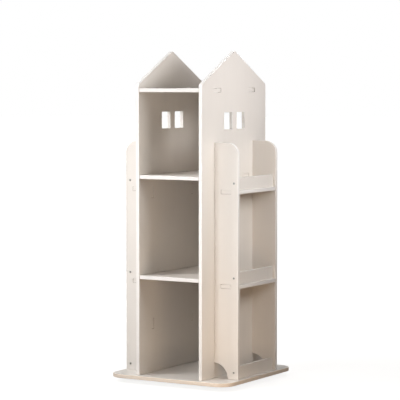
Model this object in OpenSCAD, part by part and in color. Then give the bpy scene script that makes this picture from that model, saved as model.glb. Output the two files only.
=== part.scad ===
// Revolving bookcase: a house-shaped tower of slotted boards that turns on a ball-bearing turntable.
// Frame: origin on the floor, on the turning axis, +Z up. The open bays face -Y and +Y,
// and the picture-book racks face +X and -X. All lengths are in millimetres.

/* [Base plate] */
// Side of the square plate that the tower stands on
plate_w = 450; // [440:1:480]
// Radius of the plate's corners
plate_r = 50; // [30:1:60]

/* [Boards] */
// Thickness of every board
board_t = 12; // [11:0.5:13]
// Clearance around each tenon in its slot
slot_gap = 0.15; // [0.1:0.05:0.3]

/* [Gables] */
// Clear width between the two gables
bay_w = 224.4; // [210:0.2:230]
// Depth of a gable, front to back
gable_d = 413; // [400:1:420]
// Height of the eaves above the base plate
eave_h = 942; // [936:1:960]
// Height of the ridge above the base plate
ridge_h = 1050.5; // [1030:0.5:1080]
// Radius at the eaves and the ridge
roof_r = 12; // [6:1:16]
// Width of one window
window_w = 52; // [40:1:60]
// Height of one window
window_h = 54.5; // [40:0.5:60]
// Width of the bar between the two windows
window_bar = 28.5; // [20:0.5:36]
// Height of the window sill above the base plate
window_sill = 796.5; // [780:0.5:810]

/* [Shelves] */
// Height of the top shelf's upper face above the base plate
top_shelf_h = 928.5; // [922:0.5:930]
// Height of the upper shelf's upper face above the base plate
upper_shelf_h = 649.5; // [640:0.5:660]
// Height of the lower shelf's upper face above the base plate
lower_shelf_h = 325; // [320:0.5:335]
// How far the shelves' front edges sit behind the gables' front edges
shelf_setback = 1; // [0.5:0.5:6]
// Length of a shelf tenon
shelf_tenon = 44; // [36:1:50]

/* [Side racks] */
// Depth of a side rack, from the gable to the outer edge of the wings
rack_d = 88; // [84:0.5:90]
// Clear width between the two wings of a rack
rack_w = 236; // [226:1:240]
// Height of the wings above the base plate
wing_h = 756.5; // [750:0.5:765]
// Radius of the wings' top outer corner
wing_r = 40; // [30:1:45]
// Radius of the arch at the foot of a wing
arch_r = 50; // [40:1:52]
// Height of the upper side shelf's upper face above the base plate
side_upper_h = 605.5; // [600:0.5:612]
// Height of the lower side shelf's upper face above the base plate
side_lower_h = 303; // [296:0.5:308]
// Length of a side shelf's tenon
side_tenon = 36; // [30:1:40]
// Height of a lip
lip_h = 40; // [36:0.5:45]
// Height of the lip screws above the lip's foot
lip_screw_h = 22; // [16:0.5:24]
// How far the lips sit behind the outer edge of the wings
lip_setback = 10; // [6:0.5:12]

/* [Turntable] */
// Diameter of a bearing ball
ball_d = 6; // [5.6:0.1:6.2]
// Number of bearing balls
ball_n = 40; // [24:1:60]
// Outer radius of the floor ring
floor_r = 155; // [150:1:160]
// Thickness of the floor pads
pad_t = 3; // [2:0.5:4]
// Number of floor pads
pad_n = 8; // [6:1:12]

/* [Hidden] */
$fn = 64;
white = [0.95, 0.93, 0.90];

// heights of the stack under the tower
floor_t = 3;
race_h = 7.5;
z_floor = pad_t;
z_race = z_floor + floor_t;
z_ball = z_race + 4;
z_plate = z_race + 9;
z0 = z_plate + board_t;

// turntable radii
pitch_r = 125;
groove_r = ball_d / 2 + 0.3;
inner_out_r = pitch_r - 1.8;
inner_in_r = 92;
race_in_r = pitch_r + 1.8;
race_out_r = 150;
floor_in_r = 119;
ring_screw_r = 107;
race_screw_r = 138;
pad_c_r = 134;

// boards
gable_in = bay_w / 2;
gable_out = gable_in + board_t;
wing_in = rack_w / 2;
wing_out = wing_in + board_t;
wing_mid = wing_in + board_t / 2;
rack_out = gable_out + rack_d;
lip_out = rack_out - lip_setback;
lip_mid = lip_out - board_t / 2;
shelf_tenon_y = 110;
low_tenon_y = 72;
side_tenon_x = gable_out + 43;
wing_tenon_h = 34;
wing_tenon_z = [573, 143];
lip_z = [z0 + side_upper_h, z0 + side_lower_h, z0];
gable_screw_y = [-170, -60, 60, 170];
gable_screw_x = gable_in + board_t / 2;
wing_screw_x = gable_out + arch_r + 9;

// wood screws
screw_d = 4;
head_d = 7.6;
head_k = (head_d - screw_d) / 2;
sink = 0.2;
screw_gap = 0.15;
lip_screw_len = 36;
foot_screw_len = 40;
ring_screw_len = 17.3;
race_screw_len = 9.8;

// ---------- outlines with rounded corners ----------

function unit(v) = v / norm(v);
// angle at p1 between the sides towards p0 and p2
function corner_angle(p0, p1, p2) = acos(unit(p0 - p1) * unit(p2 - p1));
// the two points where a round of radius r leaves the sides of corner p1
function corner_ends(p0, p1, p2, r) =
    let (l = r / tan(corner_angle(p0, p1, p2) / 2))
    [p1 + unit(p0 - p1) * l, p1 + unit(p2 - p1) * l];
// the centre of that round
function corner_centre(p0, p1, p2, r) =
    p1 + unit(unit(p0 - p1) + unit(p2 - p1)) * r / sin(corner_angle(p0, p1, p2) / 2);

// closed outline through pts, with corner i rounded to radius rr[i]
module rounded_outline(pts, rr) {
    n = len(pts);
    polygon([for (i = [0 : n - 1]) each
        rr[i] > 0 ? corner_ends(pts[(i + n - 1) % n], pts[i], pts[(i + 1) % n], rr[i]) : [pts[i]]]);
    for (i = [0 : n - 1])
        if (rr[i] > 0)
            translate(corner_centre(pts[(i + n - 1) % n], pts[i], pts[(i + 1) % n], rr[i])) circle(r = rr[i]);
}

// extrudes a (y, z) outline along +X from x
module along_x(x, t) { translate([x, 0, 0]) rotate([90, 0, 90]) linear_extrude(t) children(); }
// extrudes an (x, z) outline along +Y from y
module along_y(y, t) { translate([0, y + t, 0]) rotate([90, 0, 0]) linear_extrude(t) children(); }
// extrudes an (x, y) outline along +Z from z
module along_z(z, t) { translate([0, 0, z]) linear_extrude(t) children(); }
// square from corner to corner
module box2(x0, y0, x1, y1) { translate([x0, y0]) square([x1 - x0, y1 - y0]); }

// ---------- fasteners ----------

// countersunk screw with a cross recess, head at z = 0, shank along +Z
module screw(l, d = screw_d, hd = head_d) {
    k = (hd - d) / 2;
    difference() {
        rotate_extrude() polygon([[0, 0], [hd / 2, 0], [hd / 2, 0.3], [d / 2, k + 0.3], [d / 2, l - 2.5], [0.4, l], [0, l]]);
        for (a = [0, 90]) rotate([0, 0, a]) translate([-1.9, -0.45, -1]) cube([3.8, 0.9, 2.5]);
    }
}
// hole for that screw through the first board, from a face at z = 0
module screw_hole(l, d = screw_d, hd = head_d) {
    k = (hd - d) / 2;
    g = screw_gap;
    rotate_extrude() polygon([[0, -1], [hd / 2 + g, -1], [hd / 2 + g, sink + 0.3 + g], [d / 2 + g, sink + 0.3 + k + g], [d / 2 + g, l], [0, l]]);
}
// pilot hole from z = 0
module pilot(l) { translate([0, 0, -1]) cylinder(r = screw_d / 2 + screw_gap, h = l + 1); }

module at_lip_screws(y_face) { for (z = lip_z) translate([lip_mid, y_face, z + lip_screw_h]) children(); }

// ---------- tower boards ----------

module plate_outline() {
    h = plate_w / 2;
    rounded_outline([[-h, -h], [h, -h], [h, h], [-h, h]], [plate_r, plate_r, plate_r, plate_r]);
}

module base_plate() {
    color(white) difference() {
        along_z(z_plate, board_t) plate_outline();
        for (s = [-1, 1], y = gable_screw_y) translate([s * gable_screw_x, y, z_plate]) screw_hole(20);
        for (s = [-1, 1], t = [-1, 1]) translate([s * wing_screw_x, t * wing_mid, z_plate]) screw_hole(20);
        for (i = [0 : 7]) rotate([0, 0, 22.5 + i * 45]) translate([ring_screw_r, 0, z_plate]) pilot(10);
    }
}

module gable_outline() {
    d = gable_d / 2;
    rounded_outline([[-d, z0], [d, z0], [d, z0 + eave_h], [0, z0 + ridge_h], [-d, z0 + eave_h]], [0, 0, roof_r, roof_r, roof_r]);
}

module gable() {
    g = slot_gap;
    difference() {
        along_x(gable_in, board_t) difference() {
            gable_outline();
            for (s = [-1, 1]) {
                // windows
                translate([s * (window_bar + window_w) / 2 - window_w / 2, z0 + window_sill]) square([window_w, window_h]);
                // slots of the top shelf
                translate([s * shelf_tenon_y, z0 + top_shelf_h - board_t / 2]) square([shelf_tenon + 2 * g, board_t + 2 * g], center = true);
                // slots of the upper and lower shelves
                for (z = [upper_shelf_h, lower_shelf_h])
                    translate([s * low_tenon_y, z0 + z - board_t / 2]) square([shelf_tenon + 2 * g, board_t + 2 * g], center = true);
                // slots of the wings
                for (z = wing_tenon_z)
                    translate([s * wing_mid, z0 + z + wing_tenon_h / 2]) square([board_t + 2 * g, wing_tenon_h + 2 * g], center = true);
            }
        }
        for (y = gable_screw_y) translate([gable_screw_x, y, z0]) pilot(30);
    }
}

module right_gable() { color(white) gable(); }
module left_gable() { color(white) mirror([1, 0, 0]) gable(); }

module shelf(h, tenon_y) {
    along_z(z0 + h - board_t, board_t) {
        box2(-gable_in, -gable_d / 2 + shelf_setback, gable_in, gable_d / 2 - shelf_setback);
        for (s = [-1, 1]) translate([0, s * tenon_y]) square([2 * gable_out, shelf_tenon], center = true);
    }
}

module top_shelf() { color(white) shelf(top_shelf_h, shelf_tenon_y); }
module upper_shelf() { color(white) shelf(upper_shelf_h, low_tenon_y); }
module lower_shelf() { color(white) shelf(lower_shelf_h, low_tenon_y); }

// front wing of the right rack, its outer face towards -Y
module wing() {
    g = slot_gap;
    difference() {
        along_y(-wing_out, board_t) difference() {
            union() {
                rounded_outline([[gable_out, z0], [rack_out, z0], [rack_out, z0 + wing_h], [gable_out, z0 + wing_h]], [0, 0, wing_r, 0]);
                for (z = wing_tenon_z) box2(gable_in, z0 + z, gable_out + 5, z0 + z + wing_tenon_h);
            }
            translate([gable_out, z0]) circle(r = arch_r);
            for (h = [side_upper_h, side_lower_h])
                translate([side_tenon_x, z0 + h - board_t / 2]) square([side_tenon + 2 * g, board_t + 2 * g], center = true);
        }
        at_lip_screws(-wing_out) rotate([-90, 0, 0]) screw_hole(board_t + 1);
        translate([wing_screw_x, -wing_mid, z0]) pilot(30);
    }
}

module right_front_wing() { color(white) wing(); }
module right_rear_wing() { color(white) mirror([0, 1, 0]) wing(); }
module left_front_wing() { color(white) mirror([1, 0, 0]) wing(); }
module left_rear_wing() { color(white) mirror([1, 0, 0]) mirror([0, 1, 0]) wing(); }

module side_shelf(h) {
    along_z(z0 + h - board_t, board_t) {
        box2(gable_out, -wing_in, rack_out - 0.5, wing_in);
        translate([side_tenon_x, 0]) square([side_tenon, 2 * wing_out], center = true);
    }
}

module right_upper_side_shelf() { color(white) side_shelf(side_upper_h); }
module right_lower_side_shelf() { color(white) side_shelf(side_lower_h); }
module left_upper_side_shelf() { color(white) mirror([1, 0, 0]) side_shelf(side_upper_h); }
module left_lower_side_shelf() { color(white) mirror([1, 0, 0]) side_shelf(side_lower_h); }

module lip(z) {
    difference() {
        translate([lip_out - board_t, -wing_in, z]) cube([board_t, 2 * wing_in, lip_h]);
        for (s = [0, 1]) mirror([0, s, 0])
            translate([lip_mid, -wing_in, z + lip_screw_h]) rotate([-90, 0, 0]) pilot(lip_screw_len - board_t + sink + 0.5);
    }
}

module right_upper_lip() { color(white) lip(lip_z[0]); }
module right_lower_lip() { color(white) lip(lip_z[1]); }
module right_bottom_lip() { color(white) lip(lip_z[2]); }
module left_upper_lip() { color(white) mirror([1, 0, 0]) lip(lip_z[0]); }
module left_lower_lip() { color(white) mirror([1, 0, 0]) lip(lip_z[1]); }
module left_bottom_lip() { color(white) mirror([1, 0, 0]) lip(lip_z[2]); }

module lip_screws() {
    color("dimgray") for (s = [0, 1], t = [0, 1]) mirror([s, 0, 0]) mirror([0, t, 0])
        at_lip_screws(-wing_out + sink) rotate([-90, 0, 0]) screw(lip_screw_len);
}

module gable_screws() {
    color("dimgray") for (s = [-1, 1], y = gable_screw_y)
        translate([s * gable_screw_x, y, z_plate + sink]) screw(foot_screw_len);
}

module wing_screws() {
    color("dimgray") for (s = [-1, 1], t = [-1, 1])
        translate([s * wing_screw_x, t * wing_mid, z_plate + sink]) screw(foot_screw_len);
}

// ---------- turntable ----------

module groove() { translate([pitch_r, z_ball]) circle(r = groove_r); }

module turntable_inner_ring() {
    color("silver") difference() {
        rotate_extrude() difference() {
            box2(inner_in_r, z_race + 1, inner_out_r, z_plate);
            groove();
        }
        for (i = [0 : 7]) rotate([0, 0, 22.5 + i * 45]) translate([ring_screw_r, 0, z_race + 1]) screw_hole(10);
    }
}

module inner_ring_screws() {
    color("dimgray") for (i = [0 : 7]) rotate([0, 0, 22.5 + i * 45])
        translate([ring_screw_r, 0, z_race + 1 + sink]) screw(ring_screw_len);
}

module bearing_balls() {
    color("lightgray") for (i = [0 : ball_n - 1]) rotate([0, 0, i * 360 / ball_n]) translate([pitch_r, 0, z_ball]) sphere(d = ball_d);
}

module ball_cage() {
    color("ivory") difference() {
        rotate_extrude() box2(pitch_r - 1.3, z_ball - 2, pitch_r + 1.3, z_ball + 4.4);
        // ball pockets, open at the bottom so that the cage snaps over the balls
        for (i = [0 : ball_n - 1]) rotate([0, 0, i * 360 / ball_n]) translate([pitch_r - 4, 0, z_ball])
            rotate([0, 90, 0]) cylinder(r = ball_d / 2 + 0.3, h = 8);
    }
}

module lower_race_ring() {
    color("silver") difference() {
        rotate_extrude() difference() {
            box2(race_in_r, z_race, race_out_r, z_ball);
            groove();
        }
        for (i = [0 : 7]) rotate([0, 0, 22.5 + i * 45]) translate([race_screw_r, 0, z_race]) pilot(6);
    }
}

module retaining_ring() {
    color("silver") difference() {
        rotate_extrude() difference() {
            box2(race_in_r, z_ball, race_out_r, z_race + race_h);
            groove();
        }
        for (i = [0 : 7]) rotate([0, 0, 22.5 + i * 45]) translate([race_screw_r, 0, z_race + race_h]) rotate([180, 0, 0]) screw_hole(6);
    }
}

module race_screws() {
    color("dimgray") for (i = [0 : 7]) rotate([0, 0, 22.5 + i * 45])
        translate([race_screw_r, 0, z_race + race_h - sink]) rotate([180, 0, 0]) screw(race_screw_len);
}

module floor_ring() {
    color("gray") difference() {
        rotate_extrude() box2(floor_in_r, z_floor, floor_r, z_race);
        for (i = [0 : 7]) rotate([0, 0, 22.5 + i * 45]) translate([race_screw_r, 0, z_floor]) pilot(6);
        for (i = [0 : pad_n - 1]) rotate([0, 0, i * 360 / pad_n]) translate([pad_c_r, 0, z_floor - 1]) cylinder(r = 3.2, h = 6);
    }
}

module floor_pads() {
    color("dimgray") for (i = [0 : pad_n - 1]) rotate([0, 0, i * 360 / pad_n]) translate([pad_c_r, 0, 0])
        rotate_extrude() polygon([[0, 0], [8.4, 0], [9, 0.6], [9, pad_t], [3, pad_t], [3, pad_t + 2], [0, pad_t + 2]]);
}

base_plate();
left_gable();
right_gable();
top_shelf();
upper_shelf();
lower_shelf();
right_front_wing();
right_rear_wing();
left_front_wing();
left_rear_wing();
right_upper_side_shelf();
right_lower_side_shelf();
left_upper_side_shelf();
left_lower_side_shelf();
right_upper_lip();
right_lower_lip();
right_bottom_lip();
left_upper_lip();
left_lower_lip();
left_bottom_lip();
lip_screws();
gable_screws();
wing_screws();
turntable_inner_ring();
inner_ring_screws();
bearing_balls();
ball_cage();
lower_race_ring();
retaining_ring();
race_screws();
floor_ring();
floor_pads();
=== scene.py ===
import bpy, math
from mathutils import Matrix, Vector
from mathutils.geometry import delaunay_2d_cdt


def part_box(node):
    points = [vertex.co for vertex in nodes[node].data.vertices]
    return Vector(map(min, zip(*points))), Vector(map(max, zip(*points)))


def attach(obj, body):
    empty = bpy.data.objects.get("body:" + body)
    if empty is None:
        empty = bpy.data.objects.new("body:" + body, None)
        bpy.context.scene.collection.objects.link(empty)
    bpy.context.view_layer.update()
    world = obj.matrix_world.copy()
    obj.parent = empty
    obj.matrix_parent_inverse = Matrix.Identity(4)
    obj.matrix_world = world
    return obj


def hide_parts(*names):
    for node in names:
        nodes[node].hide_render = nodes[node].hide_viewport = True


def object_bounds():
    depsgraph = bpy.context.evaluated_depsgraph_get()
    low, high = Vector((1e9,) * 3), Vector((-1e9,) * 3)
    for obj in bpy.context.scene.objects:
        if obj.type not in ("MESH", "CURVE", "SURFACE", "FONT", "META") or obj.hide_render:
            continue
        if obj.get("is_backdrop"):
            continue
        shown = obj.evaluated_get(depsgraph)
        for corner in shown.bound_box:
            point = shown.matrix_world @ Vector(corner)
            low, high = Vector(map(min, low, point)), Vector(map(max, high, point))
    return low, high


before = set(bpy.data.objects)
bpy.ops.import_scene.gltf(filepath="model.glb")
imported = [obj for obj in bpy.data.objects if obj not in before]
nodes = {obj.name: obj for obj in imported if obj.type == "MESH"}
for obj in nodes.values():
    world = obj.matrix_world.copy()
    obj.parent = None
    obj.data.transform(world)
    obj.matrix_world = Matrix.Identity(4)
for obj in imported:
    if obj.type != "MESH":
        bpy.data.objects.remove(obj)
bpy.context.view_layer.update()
scene = bpy.context.scene

# ------------------------------------------------------------------ dimensions, in millimetres as in the CAD model
T = 12.0                          # board thickness
Z0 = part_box("base_plate")[1].z * 1000.0   # top of the base plate
PLATE_W, PLATE_R = 450.0, 50.0
GI = 112.2                        # inner face of a gable
GO = GI + T                       # outer face of a gable
GABLE_D, EAVE, RIDGE, ROOF_R = 413.0, 942.0, 1050.5, 12.0
WIN_W, WIN_H, WIN_BAR, WIN_SILL = 52.0, 54.5, 28.5, 796.5
TOP_H, UPPER_H, LOWER_H = 928.5, 649.5, 325.0
SETBACK, TENON = 1.0, 44.0
TOP_TENON_Y, LOW_TENON_Y = 110.0, 72.0
WI, WO, WM = 118.0, 130.0, 124.0  # inner face, outer face and middle of a wing
RO = GO + 88.0                    # outer edge of the racks
WING_H, WING_R, ARCH_R = 756.5, 40.0, 50.0
SIDE_UPPER, SIDE_LOWER = 605.5, 303.0
SIDE_TENON, SIDE_TENON_X = 36.0, GO + 43.0
WING_TENON_H, WING_TENON_Z = 34.0, (573.0, 143.0)
LIP_H, LIP_OUT, LIP_SCREW = 40.0, RO - 10.0, 22.0
LIP_MID = LIP_OUT - T / 2
SLOT_GAP = 0.7                    # gap round a tenon in its slot
TENON_BACK = 0.45                 # how far a tenon's end sits behind the face
SHOULDER, LIP_GAP = 0.9, 1.0      # joint line where a shelf, and where a lip, meets a board
GABLE_SCREW_Y = (-170.0, -60.0, 60.0, 170.0)
WING_SCREW_X = GO + ARCH_R + 9.0
EASE = 1.2                        # radius of the eased board edges
TIGHT = 0.12                      # the same where a wing or a side shelf butts flat on a gable
TENON_EASE = 0.3                  # and on the end of a tenon
FOOT_EASE = 1.2                   # and along the foot of a gable or a wing
GABLE_FOOT, WING_FOOT = 0.3, 0.3  # joint line under the foot
FOOT_R = 2.5                      # lower corners of a gable's front and rear edge


# ------------------------------------------------------------------ outlines
def rounded(pts, radii, step=9.0):
    """Closed outline through pts with corner i rounded to radii[i]; a corner with None stays as it is."""
    out = []
    n = len(pts)
    for i in range(n):
        p0, p1, p2 = (Vector(pts[(i + k) % n]) for k in (-1, 0, 1))
        r = radii[i]
        if not r:
            out.append(p1)
            continue
        u, w = (p0 - p1).normalized(), (p2 - p1).normalized()
        ang = math.acos(max(-1.0, min(1.0, u.dot(w))))
        if abs(math.pi - ang) < 1e-3:
            out.append(p1)
            continue
        cut = r / math.tan(ang / 2)
        c = p1 + (u + w).normalized() * (r / math.sin(ang / 2))
        a0 = math.atan2(*(p1 + u * cut - c).yx)
        a1 = math.atan2(*(p1 + w * cut - c).yx)
        d = (a1 - a0 + math.pi) % (2 * math.pi) - math.pi
        m = max(3, math.ceil(abs(math.degrees(d)) / (step if r > 5 else 22.5)))
        out += [c + Vector((math.cos(a0 + d * k / m), math.sin(a0 + d * k / m))) * r for k in range(m + 1)]
    return out


def rect(x0, y0, x1, y1, r):
    return rounded([(x0, y0), (x1, y0), (x1, y1), (x0, y1)], [r] * 4)


def ring(cx, cy, r, n=28):
    return [Vector((cx + r * math.cos(2 * math.pi * k / n), cy + r * math.sin(2 * math.pi * k / n))) for k in range(n)]


def area(loop):
    return 0.5 * sum(loop[i - 1].x * loop[i].y - loop[i].x * loop[i - 1].y for i in range(len(loop)))


def crossings(pts, sides, c):
    """How many of the sides a ray from c towards +a crosses."""
    n = 0
    for i, j in sides:
        p, q = pts[i], pts[j]
        if (p.y > c.y) != (q.y > c.y) and p.x + (c.y - p.y) * (q.x - p.x) / (q.y - p.y) > c.x:
            n += 1
    return n


# ------------------------------------------------------------------ edge profiles: (depth, cut into the board, normal)
def eased(lo, hi, r, n=4):
    """Both edges rounded to radius r."""
    out = []
    for k in range(n + 1):
        a = math.radians(90 - 90 * k / n)
        out.append((lo + r * (1 - math.sin(a)), r * (1 - math.cos(a)), (math.cos(a), -math.sin(a))))
    for k in range(n + 1):
        a = math.radians(90 * k / n)
        out.append((hi - r * (1 - math.sin(a)), r * (1 - math.cos(a)), (math.cos(a), math.sin(a))))
    return out


def countersunk(lo, hi, from_lo):
    """A screw hole with its countersink in the lo or the hi face; the loop is the shank's bore."""
    d = [(0.0, 2.15), (0.35, 1.8), (0.65, 1.8), (2.45, 0.0), (hi - lo, 0.0)]
    pts = [(lo + t, o) for t, o in d] if from_lo else [(hi - t, o) for t, o in reversed(d)]
    return [(t, o, None) for t, o in pts]


# ------------------------------------------------------------------ boards
# tones in the "edge" attribute: 0 on the faces, 1 on the eased edges, and these on the walls
SIDE_TONE, RAW_TONE = 0.55, 2.0


def board(name, axis, lo, hi, outline, holes=(), ease=EASE, tenon=None):
    """A closed board mesh with eased edges; ease is a radius, or gives it for a point. outline and the holes are (a, b) loops in the board's plane, a hole with its edge profile and its wall's tone."""
    loops = []
    for k, (pts, prof, wall) in enumerate([(outline, None, SIDE_TONE), *holes]):
        pts = list(pts)
        if (area(pts) < 0) != (k > 0):
            pts.reverse()
        if k:
            profs = [prof] * len(pts)
        else:
            profs = [eased(lo, hi, ease(p) if callable(ease) else ease) for p in pts]
        loops.append((pts, profs, [0.0 if k == 0 and tenon and tenon(p) else wall for p in pts]))
    put = {"x": lambda a, b, t: (t, a, b), "y": lambda a, b, t: (a, t, b), "z": lambda a, b, t: (a, b, t)}[axis]
    ax = Vector({"x": (1, 0, 0), "y": (0, 1, 0), "z": (0, 0, 1)}[axis])
    flip = axis == "y"
    verts, faces, normals, edge = [], [], [], []
    caps = {0: [], 1: []}
    for pts, profs, walls in loops:
        n = len(pts)
        prof = profs[0]
        en = []                     # outward normal of the side from i to i + 1
        for i in range(n):
            d = (pts[(i + 1) % n] - pts[i]).normalized()
            en.append(Vector((d.y, -d.x)))
        start = len(verts)
        for j in range(len(prof)):
            for i in range(n):
                t, o, _ = profs[i][j]
                a, b = en[i - 1], en[i]
                miter = (a + b) / max(0.2, 1.0 + a.dot(b))
                p = pts[i] - miter * o
                verts.append(Vector(put(p.x, p.y, t)) * 0.001)
                flat = j in (0, len(prof) - 1) or walls[i] == 0.0
                edge.append(0.0 if flat else (1.0 if o > 0.001 else walls[i]))
        caps[0].append([start + i for i in range(n)])
        caps[1].append([start + (len(prof) - 1) * n + i for i in range(n)])

        def vnorm(i, side, j):
            """Normal at point i seen from side (index of the side), at profile point j."""
            m = en[side]
            other = en[side - 1] if i == side else en[(side + 1) % n]
            if m.dot(other) > 0.75:
                m = (m + other).normalized()
            return Vector(put(m.x, m.y, 0.0)), prof[j][2]

        for j in range(len(prof) - 1):
            hard = prof[j][2] is None
            if hard:
                dt, do = prof[j + 1][0] - prof[j][0], prof[j + 1][1] - prof[j][1]
                s = Vector((dt, do)).normalized()
            for i in range(n):
                i2 = (i + 1) % n
                f = [(i, j), (i2, j), (i2, j + 1), (i, j + 1)]
                if flip:
                    f.reverse()
                faces.append([start + jj * n + ii for ii, jj in f])
                for ii, jj in f:
                    m, pn = vnorm(ii, i, jj)
                    if hard:
                        normals.append((m * s.x + ax * s.y).normalized())
                    else:
                        normals.append((m * pn[0] + ax * pn[1]).normalized())
    ia, ib = {"x": (1, 2), "y": (0, 2), "z": (0, 1)}[axis]
    for end in (0, 1):
        ids = [i for loop in caps[end] for i in loop]
        flat = [Vector((verts[i][ia], verts[i][ib])) * 1000.0 for i in ids]
        sides, k = [], 0
        for loop in caps[end]:
            sides += [(k + i, k + (i + 1) % len(loop)) for i in range(len(loop))]
            k += len(loop)
        _, _, tris, back, _, _ = delaunay_2d_cdt(flat, sides, [], 1, 1e-5)
        want = (1 if end else -1) * (-1 if flip else 1)
        for tri in tris:
            t = [back[k][0] for k in tri]
            p, q, r = (flat[k] for k in t)
            if crossings(flat, sides, (p + q + r) / 3) % 2 == 0:
                continue            # inside a hole
            if ((q - p).cross(r - p) > 0) != (want > 0):
                t.reverse()
            faces.append([ids[k] for k in t])
            normals += [ax * (1 if end else -1)] * 3
    me = bpy.data.meshes.new(name)
    me.from_pydata(verts, [], faces)
    me.polygons.foreach_set("use_smooth", [True] * len(faces))
    at = me.attributes.new("edge", "FLOAT", "POINT")
    at.data.foreach_set("value", edge)
    me.normals_split_custom_set(normals)
    me.update()
    ob = bpy.data.objects.new(name, me)
    scene.collection.objects.link(ob)
    return ob


# ------------------------------------------------------------------ materials
def shader(name):
    mat = bpy.data.materials.new(name)
    mat.use_nodes = True
    nt = mat.node_tree
    nt.nodes.clear()
    out = nt.nodes.new("ShaderNodeOutputMaterial")
    bsdf = nt.nodes.new("ShaderNodeBsdfPrincipled")
    nt.links.new(bsdf.outputs[0], out.inputs["Surface"])
    return mat, nt, bsdf


def add(nt, kind, **kw):
    n = nt.nodes.new(kind)
    for k, v in kw.items():
        if k.startswith("in_"):
            n.inputs[k[3:].replace("_", " ")].default_value = v
        else:
            setattr(n, k, v)
    return n


def coords(nt, offset=(0, 0, 0), scale=(1, 1, 1)):
    tc = add(nt, "ShaderNodeTexCoord")
    mp = add(nt, "ShaderNodeMapping")
    mp.inputs["Location"].default_value = offset
    mp.inputs["Scale"].default_value = scale
    nt.links.new(tc.outputs["Object"], mp.inputs["Vector"])
    return mp.outputs["Vector"]


def noise(nt, vec, scale, detail=3.0, rough=0.55):
    n = add(nt, "ShaderNodeTexNoise", in_Scale=scale, in_Detail=detail, in_Roughness=rough)
    nt.links.new(vec, n.inputs["Vector"])
    return n.outputs["Fac"]


def remap(nt, val, a0, a1, b0, b1, smooth=False):
    n = add(nt, "ShaderNodeMapRange")
    if smooth:
        n.interpolation_type = "SMOOTHSTEP"
    for k, v in zip(("From Min", "From Max", "To Min", "To Max"), (a0, a1, b0, b1)):
        n.inputs[k].default_value = v
    nt.links.new(val, n.inputs["Value"])
    return n.outputs["Result"]


def math_(nt, op, a, b):
    n = add(nt, "ShaderNodeMath", operation=op)
    for k, v in enumerate((a, b)):
        if isinstance(v, (int, float)):
            n.inputs[k].default_value = v
        else:
            nt.links.new(v, n.inputs[k])
    return n.outputs[0]


def mix(nt, fac, a, b):
    n = add(nt, "ShaderNodeMix", data_type="RGBA")
    nt.links.new(fac, n.inputs["Factor"])
    for k, v in (("A", a), ("B", b)):
        s = next(i for i in n.inputs if i.name == k and i.type == "RGBA")
        if isinstance(v, tuple):
            s.default_value = (*v, 1.0)
        else:
            nt.links.new(v, s)
    return next(o for o in n.outputs if o.type == "RGBA")


def bump(nt, bsdf, height, distance, strength=1.0):
    b = add(nt, "ShaderNodeBump", in_Strength=strength, in_Distance=distance)
    nt.links.new(height, b.inputs["Height"])
    nt.links.new(b.outputs["Normal"], bsdf.inputs["Normal"])


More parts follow.
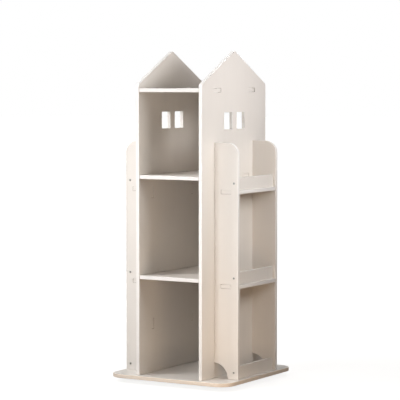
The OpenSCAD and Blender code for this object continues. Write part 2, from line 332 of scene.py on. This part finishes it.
def paint(name, light, dark, worn, offset, run=(1, 1, 1), rough=(0.30, 0.42), side=None, foot=None):
    """Satin warm-white paint on board: faint mottling, roller texture, and edges where the coat is thinner; side is a
    lighter tone on the eased edges and walls, partly their own coat and partly painted highlight; foot is painted
    shade, the darker tone that the colour fades to over the lowest 100 mm above the base plate.
    """
    mat, nt, bsdf = shader(name)
    v = coords(nt, offset)
    vr = coords(nt, offset, run)
    big = remap(nt, noise(nt, v, 4.0, 3.0), 0.3, 0.7, 0.0, 1.0)
    fine = remap(nt, noise(nt, vr, 60.0, 4.0), 0.35, 0.65, 0.0, 1.0)
    col = mix(nt, math_(nt, "ADD", math_(nt, "MULTIPLY", big, 0.7), math_(nt, "MULTIPLY", fine, 0.3)), dark, light)
    e = add(nt, "ShaderNodeAttribute", attribute_name="edge")
    # painted shade: the colour darkens, patchily, towards the base plate
    if foot:
        sep = add(nt, "ShaderNodeSeparateXYZ")
        nt.links.new(coords(nt), sep.inputs[0])
        close_to_plate_shade = remap(nt, sep.outputs[2], Z0 * 0.001, Z0 * 0.001 + 0.1, 0.62, 0.0, True)
        patchy = remap(nt, noise(nt, v, 30.0, 4.0), 0.3, 0.7, 0.85, 1.0)
        foot_shade_fac = math_(nt, "MULTIPLY", close_to_plate_shade, patchy)
        col = mix(nt, foot_shade_fac, col, foot)
    # lighter tone on eased edges and walls: partly the edges' own coat, partly painted highlight
    if side:
        grain = remap(nt, noise(nt, coords(nt, offset, (1, 1, 6)), 26.0, 4.0), 0.3, 0.7, 0.75, 1.0)
        col = mix(nt, math_(nt, "MULTIPLY", remap(nt, e.outputs["Fac"], 0.1, 0.55, 0.0, 1.0), grain), col, side)
    # the painted shade at the foot darkens the edge tone too, at 40 %
    if side and foot:
        col = mix(nt, math_(nt, "MULTIPLY", foot_shade_fac, 0.4), col, foot)
    wear = remap(nt, noise(nt, v, 38.0, 5.0, 0.65), 0.45, 0.75, 0.0, 0.18, True)
    on_edge = remap(nt, e.outputs["Fac"], 0.5, 1.0, 0.0, 1.0)
    col = mix(nt, math_(nt, "MULTIPLY", on_edge, wear), col, worn)
    col = mix(nt, remap(nt, e.outputs["Fac"], 1.3, 1.8, 0.0, 1.0), col, BARE)
    nt.links.new(col, bsdf.inputs["Base Color"])
    r = remap(nt, noise(nt, v, 22.0, 5.0, 0.6), 0.3, 0.7, rough[0], rough[1])
    r = math_(nt, "ADD", r, math_(nt, "MULTIPLY", e.outputs["Fac"], 0.07))
    nt.links.new(r, bsdf.inputs["Roughness"])
    peel = noise(nt, v, 420.0, 2.0)
    roller = noise(nt, vr, 110.0, 3.0)
    fibre = math_(nt, "MULTIPLY", noise(nt, v, 1300.0, 2.0), math_(nt, "ADD", math_(nt, "MULTIPLY", e.outputs["Fac"], 0.9), 0.25))
    h = math_(nt, "ADD", math_(nt, "ADD", math_(nt, "MULTIPLY", peel, 0.5), math_(nt, "MULTIPLY", roller, 0.5)), fibre)
    bump(nt, bsdf, h, 0.00003, 0.5)
    bsdf.inputs["Specular IOR Level"].default_value = 0.45
    bsdf.inputs["Coat Weight"].default_value = 0.08
    bsdf.inputs["Coat Roughness"].default_value = 0.3
    return mat


# the second tone is painted shade, the darker colour a gable or wing takes just above the base plate
BARE, FOOT_SHADE = (0.30, 0.22, 0.15), (0.60, 0.565, 0.525)
LIGHT, DARK, WORN, EDGE_COAT_AND_HIGHLIGHT = (0.805, 0.750, 0.684), (0.775, 0.717, 0.648), (0.72, 0.65, 0.57), (0.84, 0.80, 0.75)
# the gables' edge tone is lighter than the other boards': painted highlight on their brightly lit front edges and roof
# slopes
gable_paint = paint("gable_paint", LIGHT, DARK, WORN, (1.3, 0.2, 4.1), (1, 1, 0.08), side=(0.90, 0.862, 0.812), foot=FOOT_SHADE)
shelf_paint = paint("shelf_paint", LIGHT, DARK, WORN, (7.7, 2.9, 0.4), (1, 0.08, 1), side=EDGE_COAT_AND_HIGHLIGHT)
wing_paint = paint("wing_paint", LIGHT, DARK, WORN, (3.1, 8.4, 1.7), (1, 1, 0.08), side=EDGE_COAT_AND_HIGHLIGHT, foot=FOOT_SHADE)
rack_paint = paint("rack_paint", LIGHT, DARK, WORN, (5.6, 4.4, 6.2), (1, 0.08, 1), side=EDGE_COAT_AND_HIGHLIGHT)
plate_paint = paint("plate_paint", (0.79, 0.748, 0.695), (0.765, 0.722, 0.668), (0.60, 0.49, 0.38), (2.2, 9.1, 3.3), (0.3, 1, 1), (0.28, 0.38), (0.88, 0.74, 0.60))


def metal(name, base, tint, rough, turned=None, scale=900.0, recess_shade=None):
    """Bare metal with fine tooling marks, round the main axis where turned is set; the last argument gives an axis and
    two distances along it over which the colour fades to almost black, painted shade deep in a screw head's cross
    hollow.
    """
    mat, nt, bsdf = shader(name)
    bsdf.inputs["Metallic"].default_value = 1.0
    v = coords(nt)
    if turned:
        sep = add(nt, "ShaderNodeSeparateXYZ")
        nt.links.new(v, sep.inputs[0])
        rr = math_(nt, "SQRT", math_(nt, "ADD", math_(nt, "POWER", sep.outputs[0], 2.0), math_(nt, "POWER", sep.outputs[1], 2.0)), 0.0)
        comb = add(nt, "ShaderNodeCombineXYZ")
        nt.links.new(rr, comb.inputs[0])
        nt.links.new(math_(nt, "MULTIPLY", sep.outputs[2], 0.5), comb.inputs[1])
        marks = noise(nt, comb.outputs[0], turned, 3.0)
    else:
        marks = noise(nt, v, scale, 4.0)
    blotch = noise(nt, v, 45.0, 4.0)
    col = mix(nt, remap(nt, math_(nt, "ADD", math_(nt, "MULTIPLY", marks, 0.6), math_(nt, "MULTIPLY", blotch, 0.4)), 0.35, 0.65, 0.0, 1.0), base, tint)
    # painted shade: almost black deeper than the face of the screw head
    if recess_shade:
        axis, a, b = recess_shade
        sep = add(nt, "ShaderNodeSeparateXYZ")
        nt.links.new(v, sep.inputs[0])
        col = mix(nt, remap(nt, math_(nt, "ABSOLUTE", sep.outputs[axis], 0.0), a * 0.001, b * 0.001, 0.0, 1.0), col, (0.035, 0.032, 0.03))
    nt.links.new(col, bsdf.inputs["Base Color"])
    nt.links.new(remap(nt, math_(nt, "ADD", math_(nt, "MULTIPLY", marks, 0.5), math_(nt, "MULTIPLY", blotch, 0.5)), 0.3, 0.7, rough[0], rough[1]), bsdf.inputs["Roughness"])
    bump(nt, bsdf, marks, 0.00002, 0.5)
    return mat


def plastic(name, a, b, rough, scale, depth, metallic=0.0):
    mat, nt, bsdf = shader(name)
    bsdf.inputs["Metallic"].default_value = metallic
    v = coords(nt)
    g = noise(nt, v, scale, 4.0)
    m = noise(nt, v, 30.0, 3.0)
    nt.links.new(mix(nt, remap(nt, math_(nt, "ADD", math_(nt, "MULTIPLY", g, 0.4), math_(nt, "MULTIPLY", m, 0.6)), 0.35, 0.65, 0.0, 1.0), a, b), bsdf.inputs["Base Color"])
    nt.links.new(remap(nt, g, 0.3, 0.7, rough[0], rough[1]), bsdf.inputs["Roughness"])
    bump(nt, bsdf, g, depth, 0.6)
    return mat


SCREW = (0.40, 0.38, 0.35), (0.54, 0.52, 0.48), (0.30, 0.45), None, 2500.0
screw_steel = metal("screw_steel", *SCREW)
# the lip and foot screws carry painted shade in their cross hollows
lip_screw_shaded_recess = metal("lip_screw_shaded_recess", *SCREW, (1, WO - 0.32, WO - 0.45))
foot_screw_shaded_recess = metal("foot_screw_shaded_recess", *SCREW, (2, Z0 - T + 0.32, Z0 - T + 0.45))
turned_alu = metal("turned_aluminium", (0.66, 0.67, 0.68), (0.80, 0.80, 0.81), (0.22, 0.40), 1400.0)
ball_steel = metal("ball_steel", (0.72, 0.72, 0.74), (0.82, 0.82, 0.84), (0.06, 0.12), None, 1800.0)
cage_nylon = plastic("cage_nylon", (0.62, 0.58, 0.47), (0.72, 0.68, 0.57), (0.42, 0.58), 900.0, 0.00004)
floor_coat = plastic("floor_ring_coat", (0.085, 0.086, 0.09), (0.125, 0.126, 0.13), (0.45, 0.62), 1100.0, 0.00008)
pad_rubber = plastic("pad_rubber", (0.018, 0.018, 0.018), (0.04, 0.039, 0.038), (0.68, 0.86), 800.0, 0.0001)


# ------------------------------------------------------------------ the tower's boards
def fit(ob, node, mat):
    ob.data.materials.append(mat)
    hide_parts(node)
    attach(ob, "tower")
    return ob


def slot_hole(a, b, w, h):
    g = SLOT_GAP
    return rect(a - w / 2 - g, b - h / 2 - g, a + w / 2 + g, b + h / 2 + g, 0.9)


def slots(loops, lo, hi):
    return [(loop, eased(lo, hi, 0.3), RAW_TONE) for loop in loops]


def gable_loops(lo, hi):
    d = GABLE_D / 2
    foot = Z0 + GABLE_FOOT
    out = rounded([(-d, foot), (d, foot), (d, foot + 6), (d, Z0 + EAVE), (0, Z0 + RIDGE), (-d, Z0 + EAVE), (-d, foot + 6)], [FOOT_R, FOOT_R, None, ROOF_R, ROOF_R, ROOF_R, None], 6.0)
    holes, cuts = [], []
    for s in (-1, 1):
        y = s * (WIN_BAR + WIN_W) / 2
        holes.append((rect(y - WIN_W / 2, Z0 + WIN_SILL, y + WIN_W / 2, Z0 + WIN_SILL + WIN_H, 1.2), eased(lo, hi, 1.1), SIDE_TONE))
        cuts.append(slot_hole(s * TOP_TENON_Y, Z0 + TOP_H - T / 2, TENON, T))
        for h in (UPPER_H, LOWER_H):
            cuts.append(slot_hole(s * LOW_TENON_Y, Z0 + h - T / 2, TENON, T))
        for z in WING_TENON_Z:
            cuts.append(slot_hole(s * WM, Z0 + z + WING_TENON_H / 2, T, WING_TENON_H))
    return out, holes + slots(cuts, lo, hi)


def gable_ease(p):
    return FOOT_EASE if p.y < Z0 + GABLE_FOOT + 0.8 else EASE


for side, s in (("right", 1), ("left", -1)):
    lo, hi = sorted((s * GI, s * GO))
    fit(board(side + "_gable_board", "x", lo, hi, *gable_loops(lo, hi), ease=gable_ease), side + "_gable", gable_paint)


def shelf_outline(tenon_y):
    y = GABLE_D / 2 - SETBACK
    a, b = tenon_y - TENON / 2, tenon_y + TENON / 2
    e, g, i = GO - TENON_BACK, GI - 6, GI - SHOULDER
    right = [(g, -y), (i, -y), (i, -b), (e, -b), (e, -a), (i, -a), (i, a), (e, a), (e, b), (i, b), (i, y), (g, y)]
    pts = right + [(-x, yy) for x, yy in reversed(right)]
    f, c, k = EASE + 0.2, TENON_EASE + 0.3, 0.6
    rad = [None, f, k, c, c, k, k, c, c, k, f, None]
    return rounded(pts, rad + rad[::-1])


def shelf_ease(p):
    return TENON_EASE if abs(p.x) > GI else (0.5 if abs(p.x) > GI - SHOULDER - 0.1 else EASE)


for name, h, ty in (("top_shelf", TOP_H, TOP_TENON_Y), ("upper_shelf", UPPER_H, LOW_TENON_Y), ("lower_shelf", LOWER_H, LOW_TENON_Y)):
    fit(board(name + "_board", "z", Z0 + h - T, Z0 + h, shelf_outline(ty), ease=shelf_ease, tenon=lambda p: abs(p.x) > GI), name, shelf_paint)


def wing_loops(s):
    top, foot = Z0 + WING_H, Z0 + WING_FOOT
    pts = [(GO + ARCH_R, foot), (RO, foot), (RO, foot + 6), (RO, top), (GO + 6, top), (GO, top)]
    b, c, f, k = TIGHT + 0.1, TENON_EASE + 0.3, FOOT_EASE + 0.2, 0.6
    rad = [f, f, None, WING_R, None, b]
    for z in WING_TENON_Z:
        lo, hi, e = Z0 + z, Z0 + z + WING_TENON_H, GI + TENON_BACK
        pts += [(GO, hi), (e, hi), (e, lo), (GO, lo)]
        rad += [k, c, c, k]
    pts.append((GO, Z0 + ARCH_R))
    rad.append(b)
    for k in range(1, 20):
        a = math.radians(90 - 90 * k / 20)
        pts.append((GO + ARCH_R * math.cos(a), Z0 + ARCH_R * math.sin(a)))
        rad.append(None)
    out = [Vector((s * p.x, p.y)) for p in rounded(pts, rad, 5.0)]
    return out, [slot_hole(s * SIDE_TENON_X, Z0 + h - T / 2, SIDE_TENON, T) for h in (SIDE_UPPER, SIDE_LOWER)]


def wing_ease(p):
    x = abs(p.x)
    return TENON_EASE if x < GO - 1 else (TIGHT if x < GO + 0.7 else (FOOT_EASE if p.y < Z0 + WING_FOOT + 0.8 else EASE))


def side_ease(p):
    return TENON_EASE if abs(p.y) > WI else (TIGHT if abs(p.x) < GO + 0.7 else (0.5 if abs(p.y) > WI - SHOULDER - 0.1 else EASE))


for side, s in (("right", 1), ("left", -1)):
    for end, t in (("front", -1), ("rear", 1)):
        lo, hi = sorted((t * WI, t * WO))
        out, cuts = wing_loops(s)
        holes = slots(cuts, lo, hi)
        for h in (SIDE_UPPER, SIDE_LOWER, 0.0):
            holes.append((ring(s * LIP_MID, Z0 + h + LIP_SCREW, 2.15), countersunk(lo, hi, t < 0), SIDE_TONE))
        name = side + "_" + end + "_wing"
        fit(board(name + "_board", "y", lo, hi, out, holes, ease=wing_ease, tenon=lambda p: abs(p.x) < GO - 1), name, wing_paint)
    for level, h in (("upper", SIDE_UPPER), ("lower", SIDE_LOWER)):
        a, b = SIDE_TENON_X - SIDE_TENON / 2, SIDE_TENON_X + SIDE_TENON / 2
        x1, w, e = RO - 0.5, WI - SHOULDER, WO - TENON_BACK
        pts = [(GO, -w), (a, -w), (a, -e), (b, -e), (b, -w), (x1, -w), (x1, w), (b, w), (b, e), (a, e), (a, w), (GO, w)]
        q, f, c, k = TIGHT + 0.1, EASE + 0.2, TENON_EASE + 0.3, 0.6
        rad = [q, k, c, c, k, f, f, k, c, c, k, q]
        out = [Vector((s * p.x, p.y)) for p in rounded(pts, rad)]
        name = side + "_" + level + "_side_shelf"
        fit(board(name + "_board", "z", Z0 + h - T, Z0 + h, out, ease=side_ease, tenon=lambda p: abs(p.y) > WI), name, rack_paint)
    for level, h in (("upper", SIDE_UPPER), ("lower", SIDE_LOWER), ("bottom", 0.0)):
        lo, hi = sorted((s * (LIP_OUT - T), s * LIP_OUT))
        name = side + "_" + level + "_lip"
        w = WI - LIP_GAP
        fit(board(name + "_rail", "x", lo, hi, rect(-w, Z0 + h, w, Z0 + h + LIP_H, EASE + 0.2)), name, rack_paint)

h = PLATE_W / 2
foot = [(ring(s * (GI + T / 2), y, 2.15), countersunk(Z0 - T, Z0, True), SIDE_TONE) for s in (-1, 1) for y in GABLE_SCREW_Y]
foot += [(ring(s * WING_SCREW_X, t * WM, 2.15), countersunk(Z0 - T, Z0, True), SIDE_TONE) for s in (-1, 1) for t in (-1, 1)]
fit(board("base_plate_board", "z", Z0 - T, Z0, rounded([(-h, -h), (h, -h), (h, h), (-h, h)], [PLATE_R] * 4, 4.0), foot, ease=1.4), "base_plate", plate_paint)


# ------------------------------------------------------------------ CAD nodes that stay: finish and eased edges
def finish_node(node, mat, bevel):
    ob = nodes[node]
    ob.data.materials.clear()
    ob.data.materials.append(mat)
    ob.modifiers.new("one_surface", "WELD").merge_threshold = 0.000002
    if bevel:
        m = ob.modifiers.new("eased_edges", "BEVEL")
        m.width = bevel
        m.segments = 2
        m.limit_method = "ANGLE"
        m.angle_limit = math.radians(40)
        m.harden_normals = True


for node, mat in (("lip_screws", lip_screw_shaded_recess), ("gable_screws", foot_screw_shaded_recess), ("wing_screws", foot_screw_shaded_recess), ("inner_ring_screws", screw_steel), ("race_screws", screw_steel)):
    finish_node(node, mat, 0.00012)
for node in ("turntable_inner_ring", "lower_race_ring", "retaining_ring"):
    finish_node(node, turned_alu, 0.0003)
finish_node("bearing_balls", ball_steel, 0)
finish_node("ball_cage", cage_nylon, 0.0002)
finish_node("floor_ring", floor_coat, 0.0004)
finish_node("floor_pads", pad_rubber, 0.0003)


# ------------------------------------------------------------------ floor, light and camera
def floor_disc(r, n=96):
    """Plain white sweep that glows by itself, its glow dimmed within 2.2 m of the middle as painted soft shade round
    the object, plain white further out.
    """
    me = bpy.data.meshes.new("floor")
    me.from_pydata([(r * math.cos(2 * math.pi * k / n), r * math.sin(2 * math.pi * k / n), 0.0) for k in range(n)], [], [list(range(n))])
    ob = bpy.data.objects.new("floor", me)
    scene.collection.objects.link(ob)
    mat, nt, bsdf = shader("floor_pale")
    v = coords(nt)
    nt.links.new(mix(nt, remap(nt, noise(nt, v, 3.0, 3.0), 0.3, 0.7, 0.0, 1.0), (0.20, 0.197, 0.192), (0.22, 0.217, 0.212)), bsdf.inputs["Base Color"])
    bsdf.inputs["Roughness"].default_value = 0.75
    bsdf.inputs["Specular IOR Level"].default_value = 0.1
    bsdf.inputs["Emission Color"].default_value = (1.0, 0.995, 0.985, 1.0)
    # painted shade: the floor's glow is weaker the closer it is to the object
    d = add(nt, "ShaderNodeVectorMath", operation="LENGTH")
    nt.links.new(v, d.inputs[0])
    nt.links.new(remap(nt, d.outputs["Value"], 0.4, 2.2, 0.87, 1.02, True), bsdf.inputs["Emission Strength"])
    me.materials.append(mat)
    ob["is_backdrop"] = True
    ob.visible_diffuse = False
    ob.visible_glossy = False
    ob.visible_shadow = False
    return ob


floor = floor_disc(40.0)


def area_light(name, loc, aim, size, power, colour, spread=180.0):
    d = bpy.data.lights.new(name, "AREA")
    d.shape = "SQUARE"
    d.size = size
    d.energy = power
    d.color = colour
    d.spread = math.radians(spread)
    ob = bpy.data.objects.new(name, d)
    ob.location = loc
    ob.rotation_euler = (Vector(aim) - Vector(loc)).to_track_quat("-Z", "Y").to_euler()
    ob.visible_camera = False
    scene.collection.objects.link(ob)
    return ob


area_light("left_front", (-1.556, -1.556, 2.0), (0, 0, 0.7), 1.0, 44.6, (1.01, 1.0, 0.995))
area_light("key_left", (-0.7, -1.2, 2.0), (0, 0, 0.6), 0.8, 4.35, (0.84, 1.0, 1.19))
area_light("front_low", (0.0, -1.7, 0.45), (0, 0, 0.4), 0.7, 8.35, (1.0, 1.0, 1.01))
area_light("front_mid", (0.0, -1.7, 0.6), (0, -0.1, 0.6), 0.7, 1.03, (0.97, 1.0, 1.07), 60.0)
area_light("right_side", (1.1, -0.3, 1.05), (0.1, 0, 0.8), 0.5, 3.16, (0.99, 1.0, 1.01), 110.0)
area_light("right_top", (0.7, 0.0, 1.2), (0.1, 0, 0.8), 0.4, 1.73, (1.0, 1.0, 1.09))
area_light("right_low", (0.5, -0.45, 0.12), (0.13, -0.17, 0.2), 0.2, 0.66, (1.25, 1.0, 0.77))
area_light("left_side", (-1.4, 0.6, 1.0), (-0.1, 0, 0.6), 0.7, 5.0, (1.0, 1.0, 1.0))
area_light("rear", (-0.6, 1.7, 2.2), (0, 0, 0.5), 1.0, 18.0, (1.0, 1.0, 1.0))
area_light("roof", (0.0, -0.5, 2.0), (0.05, -0.08, 1.05), 0.4, 0.12, (1.0, 1.0, 1.0), 40.0)

# world: white to the camera, and to the object a dim room, warmer from below, with a pale studio in its reflections
world = bpy.data.worlds.new("studio")
scene.world = world
world.use_nodes = True
wn = world.node_tree
wn.nodes.clear()
tc = add(wn, "ShaderNodeTexCoord")
sep = add(wn, "ShaderNodeSeparateXYZ")
wn.links.new(tc.outputs["Generated"], sep.inputs[0])
height = remap(wn, sep.outputs[2], -0.1, 0.1, 0.0, 1.0)
room = mix(wn, height, (0.038, 0.021, 0.0135), (0.04, 0.038, 0.036))
shine = mix(wn, height, (0.20, 0.145, 0.10), (0.25, 0.25, 0.245))
lp = add(wn, "ShaderNodeLightPath")
room = mix(wn, lp.outputs["Is Glossy Ray"], room, shine)
bg = add(wn, "ShaderNodeBackground")
wn.links.new(mix(wn, lp.outputs["Is Camera Ray"], room, (1.0, 1.0, 1.0)), bg.inputs["Color"])
wo = add(wn, "ShaderNodeOutputWorld")
wn.links.new(bg.outputs[0], wo.inputs[0])

cam = bpy.data.cameras.new("camera")
cam.lens, cam.sensor_width, cam.sensor_fit = 170.737, 36.0, "HORIZONTAL"
cam.clip_start, cam.clip_end = 0.1, 200.0
cam_ob = bpy.data.objects.new("camera", cam)
phi = math.radians(30.9686)
cam_ob.location = (6.2217 * math.sin(phi) - 0.00586 * math.cos(phi), -6.2217 * math.cos(phi) - 0.00586 * math.sin(phi), Z0 * 0.001 + 0.96627)
cam_ob.rotation_euler = (math.radians(90 - 3.7221), 0.0, phi)
scene.collection.objects.link(cam_ob)
scene.camera = cam_ob
scene.view_settings.view_transform = "Standard"

lo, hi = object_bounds()
